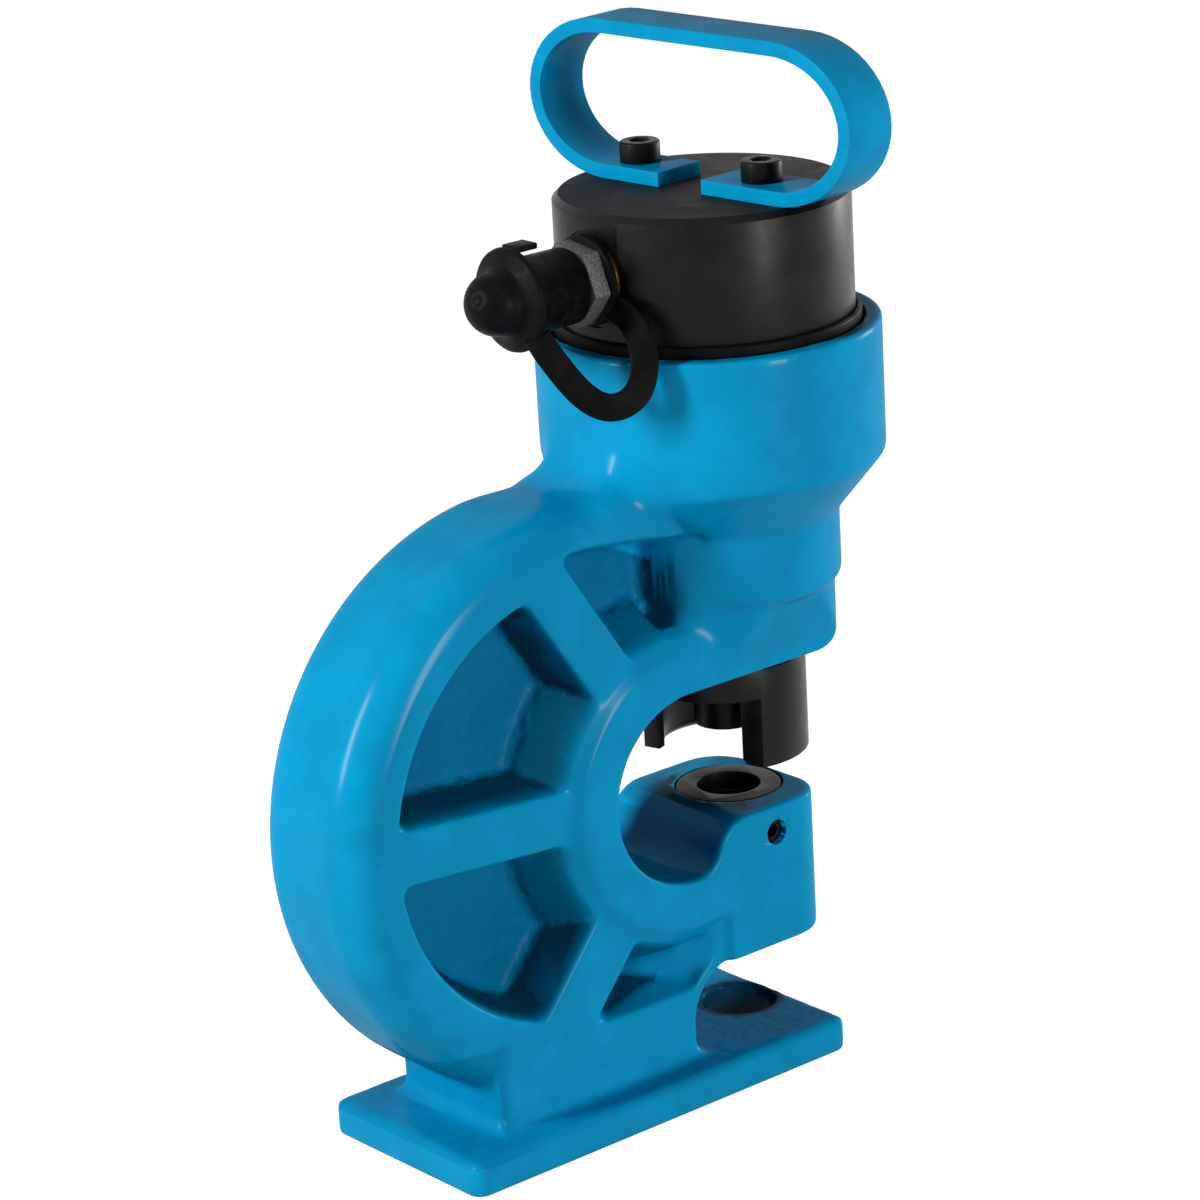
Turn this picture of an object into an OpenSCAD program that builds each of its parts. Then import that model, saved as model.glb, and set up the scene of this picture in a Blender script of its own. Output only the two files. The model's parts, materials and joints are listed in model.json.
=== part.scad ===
// Bench hydraulic hole punch. A C-shaped casting stands on its base and carries a spring-return
// ram above the open throat. The ram drives a round punch through a stripper and into a die.
// X runs towards the open side of the throat, Y across it and Z up. The origin is the point
// where the punch axis meets the underside of the base.

/* [Base] */
// Front edge of the base, ahead of the punch axis
base_front = 15; // [10:0.5:30]
// Rear edge of the base, behind the punch axis
base_rear = 139; // [128:1:170]
// Width of the base
base_w = 72.6; // [60:0.2:100]
// Thickness of the base
base_h = 11.5; // [9:0.5:16]
// Rounding along the top edges of the base
base_edge_r = 4; // [1:0.5:6]
// Rounding of the base's corners, seen from above
base_corner_r = 5; // [2:0.5:12]
// Bore through the base for the slugs
slug_bore_d = 24; // [20:0.5:28]
// Chamfer on the top of that bore
slug_bore_chamfer = 1; // [0.4:0.1:2]

/* [C-frame] */
// Thickness of the C across its flat sides
spine_w = 48; // [42:1:60]
// Outer radius of the C
spine_r = 93.3; // [88:0.1:100]
// Centre of the C's outer curve, behind the punch axis
spine_back = 75.5; // [72:0.5:80]
// Height of the centre of the C's outer curve
spine_z = 106.5; // [102:0.5:112]
// Rounding of the C's outer edges
spine_edge_r = 13; // [6:0.5:18]
// Rear face of the foot below the C
foot_rear = 119; // [112:1:125]
// Front face of the foot below the C
foot_front = 38.5; // [36:0.5:46]
// Concave corner between the foot and the lower jaw
foot_corner_r = 17; // [8:0.5:20]
// Fillet where the foot stands on the base
foot_fillet_r = 5; // [2:0.5:7]

/* [Throat] */
// Radius of the round end of the throat
throat_r = 30.6; // [26:0.2:34]
// Centre of the throat behind the punch axis
throat_back = 37; // [34:0.5:42]
// Height of the centre of the throat
throat_z = 101.5; // [98:0.5:106]
// Concave corner at the foot of the throat
throat_corner_r = 10; // [6:0.5:14]
// Rounding where the throat meets the top of the lower jaw
jaw_lip_r = 12; // [6:0.5:14]

/* [Lower jaw] */
// Thickness of the jaws and the ring round the throat
jaw_w = 53; // [48:0.5:64]
// Underside of the lower jaw
jaw_bottom = 39.3; // [34:0.1:46]
// Top of the lower jaw
jaw_top = 86.4; // [84:0.1:90]
// Front face of the lower jaw
jaw_front = 19.3; // [17:0.1:26]
// Rear edge of the flat side of the lower jaw
jaw_rear = 24.5; // [20:0.5:30]
// Rounding of the front corners of the lower jaw
jaw_corner_r = 14; // [6:0.5:16]
// Rounding of the lower front edge of the jaw
jaw_edge_r = 7; // [3:0.5:12]

/* [Hub, spokes and pockets] */
// Half the thickness of the web at the floor of the pockets
web_half = 5.5; // [4:0.5:9]
// Radius of the proud flat ring round the throat
hub_face_r = 45; // [41:0.5:48]
// Radius where the bevel of that ring ends
hub_bevel_r = 49.5; // [47:0.5:52]
// Radius of the ring's wall at the floor of the pockets
hub_foot_r = 54; // [51:0.5:57]
// Directions of the spokes from the centre of the throat, in degrees
spoke_angles = [123.5, 175.7, 230];
// Widths of the spokes at their faces
spoke_widths = [17, 17, 19.5];
// Outer wall of the rear pockets, radius at the face
pocket_r = 69.4; // [66:0.2:72]
// Centre of that wall behind the punch axis
pocket_back = 80.9; // [78:0.1:83]
// Height of the centre of that wall
pocket_z = 109.1; // [107:0.1:111]
// How far each pocket's wall leans in from its face to its floor
pocket_draft = 5; // [1:0.5:6]
// Height of the top wall of the upper pocket above the centre of the throat
upper_pocket_h = 81.5; // [78:0.5:84]
// Tilt of that wall, in degrees
upper_pocket_tilt = 6.6; // [0:0.2:10]
// Height of the ledge at the foot of the lower pocket
ledge_z = 34; // [30:0.5:38]
// Rise of that ledge from the face to the floor of the pocket
ledge_rise = 6; // [2:0.5:8]
// Rim left between the lower pocket and the foot's concave corner
ledge_rim = 4; // [2:0.5:6]

/* [Neck and collar] */
// Radius of the lower part of the neck
boss_r = 36.4; // [34:0.2:40]
// Radius of the upper part of the neck
neck_r = 38.7; // [37:0.1:42]
// Height of the step between the two
neck_step_z = 158; // [152:0.5:164]
// Height where the cone starts
cone_z = 179; // [174:0.5:184]
// Lower edge of the collar
collar_bottom = 197.7; // [192:0.1:199]
// Top of the collar
collar_top = 240; // [225:0.5:255]
// Outer radius of the collar
collar_r = 54; // [52:0.2:60]
// Rounding of the neck's lower edge
boss_edge_r = 6; // [2:0.5:8]
// Angle at which the neck's sides spread from the width of the jaw, in degrees
boss_spread = 25; // [10:1:40]
// Height where they start to spread, above the top of the throat
boss_spread_h = 4.9; // [2:0.1:8]
// Fillet behind the collar
collar_fillet_r = 10; // [4:0.5:12]

/* [Hydraulic cylinder] */
// Outer radius of the cylinder above the collar
cyl_r = 46; // [44:0.2:47]
// Outer radius of the cylinder inside the collar
cyl_spigot_r = 44; // [42:0.2:45.5]
// Top of the cylinder
cyl_top = 282; // [280:0.5:295]
// Top wall of the cylinder
cyl_top_wall = 17.5; // [16:0.5:24]
// Chamfer on the top edge of the cylinder
cyl_chamfer = 2; // [0.5:0.5:4]
// Bore of the cylinder
bore_r = 36; // [32:0.5:38]
// Depth of the shoulder that the cylinder rests on, below the top of the collar
shoulder_depth = 5; // [3:0.5:8]
// Radius of that counterbore, which holds the dust ring
shoulder_r = 48; // [47.6:0.1:50]
// Height of the seat under the cylinder's spigot
seat_z = 200; // [197:0.5:204]
// Height of the dust ring above the collar
ring_proud = 3; // [1:0.5:5]

/* [Handle] */
// Length of the handle over its round ends
handle_len = 133; // [120:1:150]
// Height of the handle above the cylinder
handle_h = 50; // [40:1:60]
// Length of each round end
handle_end = 31; // [26:0.5:40]
// Width of the handle's bar
handle_w = 19; // [14:0.5:24]
// Thickness of the handle's bar
handle_t = 4.5; // [3:0.5:7]
// Gap between the ends of the two feet
handle_gap = 18; // [12:1:24]
// How far the bent loop stands off the middle of its screws
handle_shift = 3.5; // [0:0.5:6]
// Turn of the handle about the punch axis, in degrees
handle_turn = 5; // [0:1:12]
// Distance of each screw from the middle
handle_screw_y = 25.5; // [22:0.5:30]
// Shank diameter of the handle's screws
screw_d = 8; // [6:0.5:9]
// Head diameter of the handle's screws
screw_head_d = 12.6; // [11:0.2:15]
// Head height of the handle's screws
screw_head_h = 6.6; // [5:0.2:9]

/* [Ram] */
// Stroke of the ram
stroke = 25; // [15:1:26]
// Thickness of the piston
piston_h = 20; // [16:1:24]
// Underside of the piston at the end of its stroke
piston_low_z = 211; // [209:0.5:214]
// Diameter of the piston rod
rod_d = 30; // [26:1:32]
// Lower end of the piston rod at rest
rod_bottom = 128; // [126:0.5:130]
// Running clearance of the piston and the rod, on the radius
run_gap = 0.05; // [0.02:0.01:0.1]

/* [Return spring] */
// Radius of the spring chamber in the neck
chamber_r = 27; // [26:0.5:30]
// Floor of the spring chamber
chamber_z = 172; // [168:0.5:176]
// Mean radius of the spring's coils
spring_r = 21.5; // [20:0.5:22]
// Diameter of the spring's wire
spring_wire_d = 5; // [4:0.2:5.6]
// Number of turns
spring_turns = 6; // [4:1:6]

/* [Guide bush] */
// Outer radius of the bush
bush_r = 21; // [19:0.5:23]
// Thickness of the bush's flange
bush_flange_h = 3; // [2:0.5:4]
// Lower end of the bush
bush_bottom = 152; // [148:0.5:156]
// Height of the wiper below the bush
wiper_h = 6; // [4:0.5:8]
// Radius of the bore below the bush
throat_bore_r = 20; // [19:0.25:21]

/* [Punch] */
// Diameter of the punch
punch_d = 20; // [8:0.5:20]
// Height of the punch's tip at rest
punch_tip = 108; // [104:0.5:110]
// Height of the punch's head
punch_head_h = 6; // [4:0.5:7]
// Diameter of the punch's head
punch_head_d = 28; // [24:0.5:28.5]
// Width of the union nut across its flats
nut_flats = 34; // [32.5:0.5:35]
// Outer diameter of the union nut over its rounded corners
nut_d = 37; // [35:0.5:38]
// Thickness of the nut below the punch's head
nut_lip = 2.5; // [2:0.5:4]
// Height of the nut's thread above the punch's head
nut_thread_h = 8; // [6:0.5:10]

/* [Stripper] */
// Outer diameter of the stripper
stripper_d = 52.4; // [50:0.2:55]
// Inner diameter of the stripper
stripper_bore_d = 40; // [38:0.5:41]
// Lower end of the stripper's legs
stripper_bottom = 99.7; // [96:0.1:104]
// Height of the closed ring above the slot
stripper_ring_h = 9.5; // [6:0.5:12]
// Width of each leg
stripper_leg_w = 27.2; // [22:0.2:32]
// Height of the spigot in the neck
spigot_h = 9.2; // [6:0.2:12]
// Diameter of the spigot
spigot_d = 48; // [45:0.5:49]
// Diameter of the stripper's set screw
stripper_screw_d = 6; // [5:0.5:7]

/* [Die] */
// Outer diameter of the die
die_d = 34.8; // [32:0.1:36]
// Height of the die
die_h = 18.4; // [14:0.1:24]
// Gap between the punch and the die, on the radius
punch_gap = 0.25; // [0.1:0.05:0.6]
// Depth of the die's cutting edge
die_land = 6; // [4:0.5:9]
// Chamfer on the die's top edge
die_chamfer = 0.9; // [0.3:0.1:1.5]
// Relief below the cutting edge, on the radius
die_relief = 1.2; // [0.5:0.1:1.5]
// Diameter of the die's set screw
die_screw_d = 8; // [5:0.5:8]
// Distance of that screw behind the punch axis
die_screw_back = 3.9; // [0:0.1:5]
// Depth of that screw below the top of the jaw
die_screw_depth = 8.9; // [6:0.1:12]
// Length of that screw
die_screw_len = 7; // [5:0.5:8.5]

/* [Oil coupler] */
// Height of the cylinder's top above the coupler's axis
coupler_drop = 20.5; // [18:0.5:22]
// Flat that the coupler seats on, behind the punch axis
coupler_seat = 44.5; // [43:0.1:45]
// Radius of that flat
coupler_seat_r = 15; // [14.5:0.1:17]
// Thickness of the sealing washer
seal_washer_t = 2; // [1:0.5:3]
// Thickness of the cap strap
strap_t = 2.5; // [2:0.1:3]
// Thickness of the hexagon
hex_h = 6; // [4:0.5:8]
// Width of the hexagon across its flats
hex_flats = 23; // [19:0.5:24]
// Radius of the nipple
nipple_r = 9.5; // [8:0.25:9.5]
// Length of the nipple
nipple_len = 21; // [16:0.5:24]
// Radius of the poppet's bore
poppet_bore_r = 5.5; // [4.5:0.1:6]
// Radius of the nipple's mouth
mouth_r = 3.2; // [2.5:0.1:4]
// Wall at the nipple's mouth
mouth_wall = 4; // [3:0.5:5]
// Diameter of the thread in the port
port_thread_d = 13; // [11:0.5:13]
// Length of the thread in the port
port_thread_len = 6; // [4:0.5:6]
// Diameter of the oil way into the cylinder
oil_way_d = 5; // [3:0.5:5]

/* [Dust cap] */
// Outer radius of the cap's skirt
cap_r = 12.8; // [12:0.1:14]
// Radius of the cap's bead
cap_bead_r = 15.6; // [14:0.1:17]
// Width of the cap's bead
cap_bead_w = 8; // [5:0.5:10]
// Radius of the cap's domed end
cap_dome_r = 10; // [8:0.2:12]
// Length of the cap
cap_len = 34; // [31:0.5:38]
// Width of the strap between the cap and the coupler
strap_w = 8; // [5:0.5:8.5]
// Thickness of the cap's pull tab
tab_t = 2; // [1:0.5:2.5]
// Length of the pull tab
tab_len = 9; // [5:0.5:12]
// Outer radius of the strap's ring
strap_ring_r = 14; // [12.5:0.1:14.5]

/* [Hidden] */
$fn = 96;

// Overrun of every cut, the gap between parts that only lie beside each other, and the gap
// round a seated part
over = 4;
gap = 0.3;
fit = 0.1;

// How far blends run into the faces that they meet
ease = 0.15;

// A length that reaches past every cut
reach = 2 * spine_r;

// Heights and half widths that several parts share
spine_half = spine_w / 2;
jaw_half = jaw_w / 2;
base_len = base_rear + base_front;
throat_top = throat_z + throat_r;
throat_bottom = throat_z - throat_r;
spigot_bore_r = spigot_d / 2 + fit;
spigot_top = throat_top + spigot_h + gap;
wiper_z = bush_bottom - wiper_h;
shoulder_z = collar_top - shoulder_depth;
bore_top = cyl_top - cyl_top_wall;
coupler_z = cyl_top - coupler_drop;
rod_r = rod_d / 2;
piston_z = piston_low_z + stroke;
piston_top = piston_z + piston_h;

// Small sizes inside the ram
screw_hole_depth = 14;
socket_share = 0.75;
seal_depth = 3;
seal_start = 3;
seal_w = 4;
wear_depth = 2;
wear_start = 12;
wear_w = 4;
recess_h = 7;
piston_screw_d = 12;
piston_screw_head_d = 18;
piston_screw_reach = 21;
spring_seat = chamber_z + bush_flange_h;

// Small sizes of the stripper
stripper_chamfer = 1.5;
dimple = 1.5;
stripper_screw_share = 0.6;
stripper_screw_len = 10;
stripper_screw_z = throat_top + spigot_h * stripper_screw_share;

// Stations along the coupler, measured outwards from the punch axis
thread_end = coupler_seat - port_thread_len;
hex_back = coupler_seat + seal_washer_t + strap_t;
hex_front = hex_back + hex_h;
nipple_end = hex_front + nipple_len;
hex_turn = 22;
groove = 1;
groove_z = hex_front + nipple_len / 3;
poppet_h = 6;
poppet_back = nipple_end - mouth_wall - gap - poppet_h;
poppet_wire_d = 1;
poppet_turns = 5;
spring_foot = hex_front - groove;
retainer_h = 2;
cap_foot = hex_front + gap;
cap_dimple_r = 1.5;

// Middle of the band between the strap's ring and the cap, chosen by hand: each height is from
// the coupler's axis
strap_turn = 50;
strap_path = [
    [-47.4, -13.4, -8.9], [-51.5, -21, -12.5], [-49.8, -27, -20.5], [-50.7, -26.4, -29.8],
    [-56.2, -22, -35.3], [-63.5, -16, -33.5], [-71.5, -9.3, -18],
];

// The lip of the lower jaw is tangent to the concave corner at the foot of the throat
corner_z = throat_bottom + throat_corner_r;
lip_z = jaw_top - jaw_lip_r;
lip_reach = sqrt(pow(throat_corner_r + jaw_lip_r, 2) - pow(corner_z - lip_z, 2));
lip_x = lip_reach - throat_back;

// A point on a circle in the plane of the C
function polar(r, a) = [r * cos(a), r * sin(a)];

// Turns a shape drawn in X and height, and raised along Z, so that it is raised towards -Y
module upright() {
    rotate([90, 0, 0]) children();
}

// The same shape on both sides of the middle plane
module both_sides() {
    children();
    mirror([0, 1, 0]) children();
}

// A flat shape of X and height, as thick as w across the middle plane
module slab(w) {
    upright() translate([0, 0, -w / 2]) linear_extrude(height = w) children();
}

// A flat shape of width and height, carried along X from x0 over a length
module along_x(x0, length) {
    translate([x0, 0, 0]) rotate([90, 0, 90]) linear_extrude(height = length) children();
}

// A ring or a tube with its foot at z0
module tube(r_out, r_in, z0, h) {
    translate([0, 0, z0]) difference() {
        cylinder(r = r_out, h = h);
        translate([0, 0, -over]) cylinder(r = r_in, h = h + 2 * over);
    }
}

// A revolved shape about the coupler's axis: local height runs away from the cylinder
module on_coupler() {
    translate([0, 0, coupler_z]) rotate([0, -90, 0]) children();
}

// A rectangle whose upper corners are round, centred on the first axis
module round_top(w, h, r) {
    translate([-w / 2, 0]) square([w, h - r]);
    translate([r - w / 2, 0]) square([w - 2 * r, h]);
    for (side = [-1, 1]) translate([side * (w / 2 - r), h - r]) circle(r = r);
}

// A rectangle with four round corners, with one corner at the origin
module round_plan(l, w, r) {
    translate([r, 0]) square([l - 2 * r, w]);
    translate([0, r]) square([l, w - 2 * r]);
    for (x = [r, l - r]) for (y = [r, w - r]) translate([x, y]) circle(r = r);
}

// A hexagon measured across its flats
module hexagon(flats) {
    circle(r = flats / (2 * cos(30)), $fn = 6);
}

module base_plate() {
    intersection() {
        translate([-base_rear, -base_w / 2, 0]) linear_extrude(height = base_h)
            round_plan(base_len, base_w, base_corner_r);
        along_x(-base_rear, base_len) round_top(base_w, base_h, base_edge_r);
        translate([base_front - base_len / 2, 0, 0]) slab(base_w)
            round_top(base_len, base_h, base_edge_r);
    }
}

// The concave corner between the foot and the underside of the lower jaw
module foot_corner() {
    difference() {
        translate([-foot_front - over, jaw_bottom - foot_corner_r])
            square([foot_corner_r + over, foot_corner_r + over]);
        translate([foot_corner_r - foot_front, jaw_bottom - foot_corner_r + ease])
            circle(r = foot_corner_r);
    }
}

// Concave fillets where the foot stands on the base
module foot_fillets() {
    l = foot_rear - foot_front;
    rise = base_h + foot_fillet_r - ease;
    module flare(half) {
        side_x = half + foot_fillet_r - ease;
        difference() {
            translate([-side_x, base_h - over]) square([2 * side_x, foot_fillet_r + over - ease]);
            for (side = [-1, 1]) translate([side * side_x, rise]) circle(r = foot_fillet_r);
        }
    }
    along_x(-foot_rear, l) flare(spine_half);
    translate([-foot_rear + l / 2, 0, 0]) slab(spine_w) flare(l / 2);
}

// Side view of the C, its foot and the shoulder that carries it up to the collar
rim_fn = 128;
shoulder_back = collar_r + collar_fillet_r;
shoulder_top = spine_z + spine_r;
module c_outline() {
    difference() {
        translate([-spine_back, spine_z]) circle(r = spine_r, $fn = rim_fn);
        difference() {
            translate([-foot_front, -over]) square([reach, jaw_bottom + over * 3 / 2]);
            foot_corner();
        }
    }
    translate([-foot_rear, base_h - over / 2])
        square([foot_rear - foot_front, jaw_bottom - base_h]);
    foot_corner();
    difference() {
        translate([-shoulder_back, cone_z])
            square([shoulder_back, shoulder_top - cone_z + collar_fillet_r - ease]);
        translate([-shoulder_back, shoulder_top + collar_fillet_r]) circle(r = collar_fillet_r);
    }
}

// Section through the rim of the C: a flat side and a round edge
module rim_section() {
    half = spine_half + ease;
    translate([0, -half]) square([spine_r - spine_edge_r, 2 * half]);
    translate([0, spine_edge_r - half]) square([spine_r, 2 * (half - spine_edge_r)]);
    for (side = [-1, 1])
        translate([spine_r - spine_edge_r, side * (half - spine_edge_r)])
            circle(r = spine_edge_r);
}

// The C: its side view, rounded by a turned rim, and square at the foot and the shoulder
module spine() {
    shoulder_w = spine_w + 4 * ease;
    intersection() {
        slab(spine_w) c_outline();
        union() {
            translate([-spine_back, 0, spine_z]) upright() rotate_extrude($fn = rim_fn) rim_section();
            translate([-foot_rear - ease, -spine_w, 0])
                cube([foot_rear - foot_front + foot_corner_r, 2 * spine_w, jaw_bottom]);
            intersection() {
                along_x(-shoulder_back, 2 * shoulder_back)
                    round_top(shoulder_w, shoulder_top + ease, spine_edge_r / 2);
                translate([-shoulder_back, -spine_w, cone_z - over])
                    cube([2 * shoulder_back, 2 * spine_w, shoulder_top]);
            }
            translate([-shoulder_back, spine_edge_r / 2 - spine_half, cone_z])
                cube([2 * shoulder_back, spine_w - spine_edge_r, shoulder_top]);
        }
    }
}

// Section of the ring round the throat, from its centre outwards
module hub_section() {
    polygon([
        [0, -jaw_half], [hub_face_r, -jaw_half], [hub_bevel_r, -spine_half],
        [hub_bevel_r, spine_half], [hub_face_r, jaw_half], [0, jaw_half],
    ]);
}

// The ring round the throat, carried forward as a bar under the neck
module hub() {
    translate([-throat_back, 0, throat_z]) {
        upright() rotate_extrude() hub_section();
        rotate([90, 0, 90]) rotate([0, 0, 90]) linear_extrude(height = throat_back) hub_section();
    }
}

module lower_jaw() {
    l = jaw_rear + jaw_front;
    intersection() {
        translate([0, 0, jaw_bottom]) linear_extrude(height = jaw_top - jaw_bottom) union() {
            translate([-jaw_rear, -jaw_half]) square([l - jaw_corner_r, jaw_w]);
            translate([-jaw_rear, jaw_corner_r - jaw_half]) square([l, jaw_w - 2 * jaw_corner_r]);
            for (side = [-1, 1])
                translate([jaw_front - jaw_corner_r, side * (jaw_half - jaw_corner_r)])
                    circle(r = jaw_corner_r);
        }
        slab(jaw_w + over) {
            translate([-reach, jaw_bottom + jaw_edge_r]) square([reach + jaw_front, jaw_top]);
            translate([-reach, 0]) square([reach + jaw_front - jaw_edge_r, jaw_top]);
            translate([jaw_front - jaw_edge_r, jaw_bottom + jaw_edge_r]) circle(r = jaw_edge_r);
        }
    }
}

// The neck, its cone and the collar: one turned shape, pinched to the jaw's width at its foot
module neck() {
    step = neck_r - boss_r;
    spread_run = neck_step_z - throat_top - boss_spread_h;
    spread = jaw_half + spread_run * tan(boss_spread);
    intersection() {
        rotate_extrude() {
            translate([0, throat_top]) square([boss_r - boss_edge_r, neck_step_z - throat_top]);
            translate([0, throat_top + boss_edge_r])
                square([boss_r, neck_step_z - throat_top - boss_edge_r]);
            translate([boss_r - boss_edge_r, throat_top + boss_edge_r]) circle(r = boss_edge_r);
        }
        along_x(-boss_r - over, 2 * (boss_r + over)) polygon([
            [-jaw_half, throat_top - over], [-jaw_half, throat_top + boss_spread_h],
            [-spread, neck_step_z], [-spread, neck_step_z + over],
            [spread, neck_step_z + over], [spread, neck_step_z],
            [jaw_half, throat_top + boss_spread_h], [jaw_half, throat_top - over],
        ]);
    }
    rotate_extrude() polygon([
        [0, neck_step_z - step], [boss_r, neck_step_z - step], [neck_r, neck_step_z],
        [neck_r, cone_z], [collar_r, collar_bottom], [collar_r, collar_top], [0, collar_top],
    ]);
}

// The throat: a round end, a flat top and the lip of the lower jaw
module throat() {
    depth = jaw_w + 2 * over;
    slab(depth) union() {
        intersection() {
            translate([-throat_back, throat_z]) circle(r = throat_r);
            translate([-throat_back - throat_r - over, throat_z - throat_r - over])
                square([throat_r + over, 2 * (throat_r + over)]);
        }
        difference() {
            translate([-throat_back, jaw_bottom + over])
                square([reach, throat_top - jaw_bottom - over]);
            difference() {
                polygon([
                    [-throat_back, jaw_bottom], [reach, jaw_bottom], [reach, jaw_top],
                    [lip_x, jaw_top], [lip_x, lip_z], [-throat_back, corner_z],
                ]);
                translate([-throat_back, corner_z]) circle(r = throat_corner_r);
            }
            translate([lip_x, lip_z]) circle(r = jaw_lip_r);
        }
    }
}

// A wedge of the pocket's depth between two directions from the centre of the throat
module sector(a0, a1) {
    translate([-throat_back, throat_z, 0]) linear_extrude(height = rib_top) polygon([
        [0, 0], polar(reach, a0), polar(2 * reach, (a0 + a1) / 2), polar(reach, a1),
    ]);
}

// The flat between the ring's bevel and the pockets
hub_ledge = 0.8;
pocket_depth = spine_half - web_half;
pocket_top = spine_half + over;
rib_top = pocket_top + over;

// The pockets' walls all lean: how far one stands out at a depth from the middle plane
function lean(draft, depth) = draft * (spine_half - depth) / pocket_depth;

// The ring's wall, the bar under the neck and the spokes, as the pockets leave them
module ribs() {
    hub_wall_r = hub_bevel_r + hub_ledge;
    hub_draft = hub_foot_r - hub_wall_r;
    hub_low = hub_wall_r + lean(hub_draft, 0);
    hub_high = hub_wall_r + lean(hub_draft, rib_top);
    translate([-throat_back, throat_z, 0]) {
        cylinder(h = rib_top, r1 = hub_low, r2 = hub_high);
        rotate([90, 0, 90]) linear_extrude(height = reach)
            polygon([[0, 0], [hub_low, 0], [hub_high, rib_top], [0, rib_top]]);
        for (i = [0:len(spoke_angles) - 1]) {
            low = spoke_widths[i] / 2 + lean(pocket_draft, 0);
            high = spoke_widths[i] / 2 + lean(pocket_draft, rib_top);
            rotate([0, 0, spoke_angles[i]]) rotate([90, 0, 90]) linear_extrude(height = reach)
                polygon([[-low, 0], [low, 0], [high, rib_top], [-high, rib_top]]);
        }
    }
}

// The two rear pockets
module rear_pockets() {
    difference() {
        intersection() {
            translate([-pocket_back, pocket_z, web_half])
                cylinder(h = pocket_top - web_half, r1 = pocket_r - pocket_draft,
                    r2 = pocket_r - lean(pocket_draft, pocket_top));
            sector(spoke_angles[0], spoke_angles[2]);
        }
        ribs();
    }
}

// The upper pocket, between the first spoke and the neck
module upper_pocket() {
    difference() {
        intersection() {
            translate([-throat_back, throat_z + upper_pocket_h, 0])
                rotate([0, 0, -upper_pocket_tilt]) rotate([90, 0, 90])
                translate([0, 0, -reach]) linear_extrude(height = 2 * reach) polygon([
                    [-pocket_draft, web_half], [-lean(pocket_draft, pocket_top), pocket_top],
                    [-upper_pocket_h, pocket_top], [-upper_pocket_h, web_half],
                ]);
            sector(0, spoke_angles[0]);
        }
        ribs();
    }
}

// The lower pocket, between the last spoke and the jaw: its floor rises to the side face
module lower_pocket() {
    floor_end = foot_front - foot_corner_r / 2;
    floor_start = throat_back + foot_corner_r;
    ledge_high = ledge_z + lean(ledge_rise, 0);
    ledge_low = ledge_z + lean(ledge_rise, rib_top);
    difference() {
        intersection() {
            rotate([-90, 0, 0]) linear_extrude(height = 2 * reach, center = true) polygon([
                [-reach, -web_half], [-floor_start, -web_half], [-floor_end, -spine_half],
                [-floor_end, -pocket_top], [-reach, -pocket_top],
            ]);
            translate([-reach, 0, 0]) rotate([90, 0, 90]) linear_extrude(height = reach - jaw_rear)
                polygon([
                    [ledge_high, 0], [ledge_low, rib_top], [throat_z, rib_top], [throat_z, 0],
                ]);
            sector(spoke_angles[2], 360);
        }
        ribs();
        translate([foot_corner_r - foot_front, jaw_bottom - foot_corner_r, 0])
            cylinder(r = foot_corner_r + ledge_rim, h = rib_top);
    }
}

// Bores down the punch axis, from the cylinder's seat to the slug way through the jaw
module axis_bores() {
    translate([0, 0, seat_z]) cylinder(r = cyl_spigot_r + fit, h = collar_top - seat_z + over);
    translate([0, 0, shoulder_z]) cylinder(r = shoulder_r, h = shoulder_depth + over);
    translate([0, 0, collar_top - shoulder_depth / 2])
        cylinder(r1 = shoulder_r, r2 = shoulder_r + shoulder_depth, h = shoulder_depth);
    translate([0, 0, chamber_z]) cylinder(r = chamber_r, h = seat_z - chamber_z + over);
    translate([0, 0, bush_bottom])
        cylinder(r = bush_r + run_gap, h = chamber_z - bush_bottom + over);
    translate([0, 0, throat_top]) cylinder(r = throat_bore_r, h = bush_bottom - throat_top + over);
    translate([0, 0, throat_top - over]) cylinder(r = spigot_bore_r, h = spigot_top - throat_top + over);
    translate([0, 0, jaw_top - die_h]) cylinder(r = die_d / 2 + fit, h = die_h + over);
    translate([0, 0, jaw_bottom - over]) cylinder(d = slug_bore_d, h = jaw_top - jaw_bottom);
    translate([0, 0, -over]) cylinder(d = slug_bore_d, h = base_h + 2 * over);
    translate([0, 0, base_h - slug_bore_chamfer])
        cylinder(d1 = slug_bore_d, d2 = slug_bore_d + 4 * slug_bore_chamfer, h = 2 * slug_bore_chamfer);
}

// Cross holes for the two set screws
module screw_holes() {
    translate([-die_screw_back, 0, jaw_top - die_screw_depth]) upright()
        cylinder(d = die_screw_d + 2 * fit, h = jaw_half + over);
    translate([0, 0, stripper_screw_z]) rotate([0, 90, 0])
        cylinder(d = stripper_screw_d + 2 * fit, h = boss_r + over);
}

module frame() {
    color("#0c86b8") difference() {
        union() {
            base_plate();
            foot_fillets();
            spine();
            hub();
            lower_jaw();
            neck();
        }
        throat();
        both_sides() difference() {
            upright() {
                rear_pockets();
                upper_pocket();
                lower_pocket();
            }
            translate([0, 0, throat_top]) cylinder(r = neck_r, h = reach);
        }
        axis_bores();
        screw_holes();
    }
}

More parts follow.
